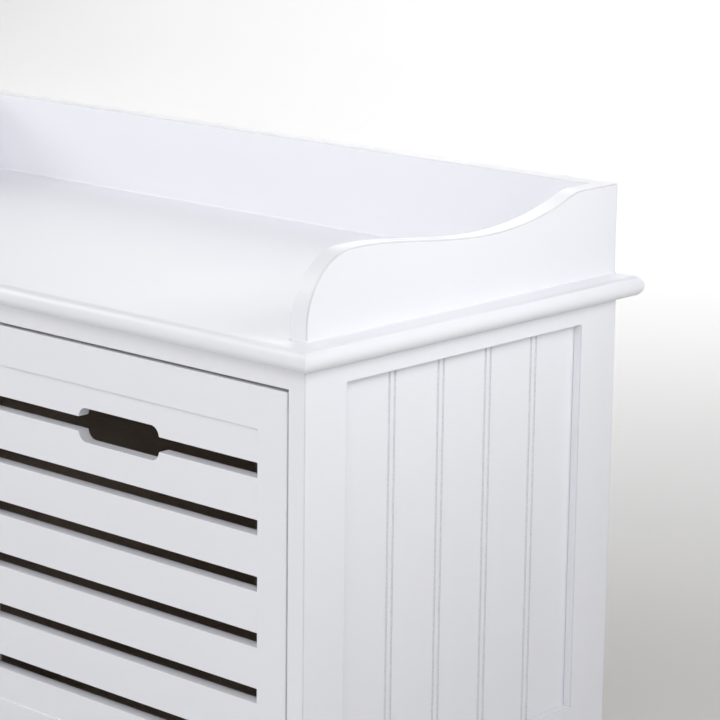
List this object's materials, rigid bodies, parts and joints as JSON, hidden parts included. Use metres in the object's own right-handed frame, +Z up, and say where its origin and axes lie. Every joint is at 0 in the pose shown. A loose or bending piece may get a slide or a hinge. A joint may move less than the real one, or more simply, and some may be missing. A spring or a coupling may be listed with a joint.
{
  "type": "entryway bench",
  "caption": "White painted entryway bench with a bullnosed seat, a low scrolled gallery, beadboard sides and slatted storage drawers with finger grips.",
  "frame": {"origin": "on the floor, under the middle of the seat board", "axes": "+X to the right as seen from the front, +Y from the front to the back, +Z up"},
  "size_m": [0.88, 0.43, 0.551],
  "materials": {
    "white_paint": "satin white paint on smooth board",
    "brown_board": "raw brown hardboard, matt",
    "hardwood": "planed bare hardwood",
    "felt": "pressed grey felt",
    "zinc_screw": "bright zinc plated screws and pins"
  },
  "bodies": {
    "carcass": {"back_panel": "brown_board", "bottom_panel": "white_paint", "centre_divider": "white_paint", "drawer_stop_left": "hardwood", "drawer_stop_right": "hardwood", "front_top_rail": "white_paint", "gallery_back": "white_paint", "gallery_left": "white_paint", "gallery_right": "white_paint", "glide_front_left": "felt", "glide_front_right": "felt", "glide_rear_left": "felt", "glide_rear_right": "felt", "left_bead_panel": "white_paint", "left_bottom_rail": "white_paint", "left_front_stile": "white_paint", "left_rear_stile": "white_paint", "left_top_rail": "white_paint", "rear_top_rail": "white_paint", "right_bead_panel": "white_paint", "right_bottom_rail": "white_paint", "right_front_stile": "white_paint", "right_rear_stile": "white_paint", "right_top_rail": "white_paint", "runner_left_inner": "hardwood", "runner_left_outer": "hardwood", "runner_right_inner": "hardwood", "runner_right_outer": "hardwood", "seat_board": "white_paint"},
    "drawer_left": {"drawer_left_back": "brown_board", "drawer_left_bottom": "brown_board", "drawer_left_front_bottom_rail": "white_paint", "drawer_left_front_stile_left": "white_paint", "drawer_left_front_stile_right": "white_paint", "drawer_left_front_top_rail": "white_paint", "drawer_left_side_left": "brown_board", "drawer_left_side_right": "brown_board", "drawer_left_slat_1": "white_paint", "drawer_left_slat_2": "white_paint", "drawer_left_slat_3": "white_paint", "drawer_left_slat_4": "white_paint", "drawer_left_slat_5": "white_paint", "drawer_left_slat_6": "white_paint", "drawer_left_slat_7": "white_paint"},
    "drawer_right": {"drawer_right_back": "brown_board", "drawer_right_bottom": "brown_board", "drawer_right_front_bottom_rail": "white_paint", "drawer_right_front_stile_left": "white_paint", "drawer_right_front_stile_right": "white_paint", "drawer_right_front_top_rail": "white_paint", "drawer_right_side_left": "brown_board", "drawer_right_side_right": "brown_board", "drawer_right_slat_1": "white_paint", "drawer_right_slat_2": "white_paint", "drawer_right_slat_3": "white_paint", "drawer_right_slat_4": "white_paint", "drawer_right_slat_5": "white_paint", "drawer_right_slat_6": "white_paint", "drawer_right_slat_7": "white_paint"}
  },
  "joints": [
    {"name": "drawer_left_slide", "type": "slide", "parent": "carcass", "child": "drawer_left", "axis": [0, -1, 0], "range_m": [0, 0.28]},
    {"name": "drawer_right_slide", "type": "slide", "parent": "carcass", "child": "drawer_right", "axis": [0, -1, 0], "range_m": [0, 0.28]}
  ]
}
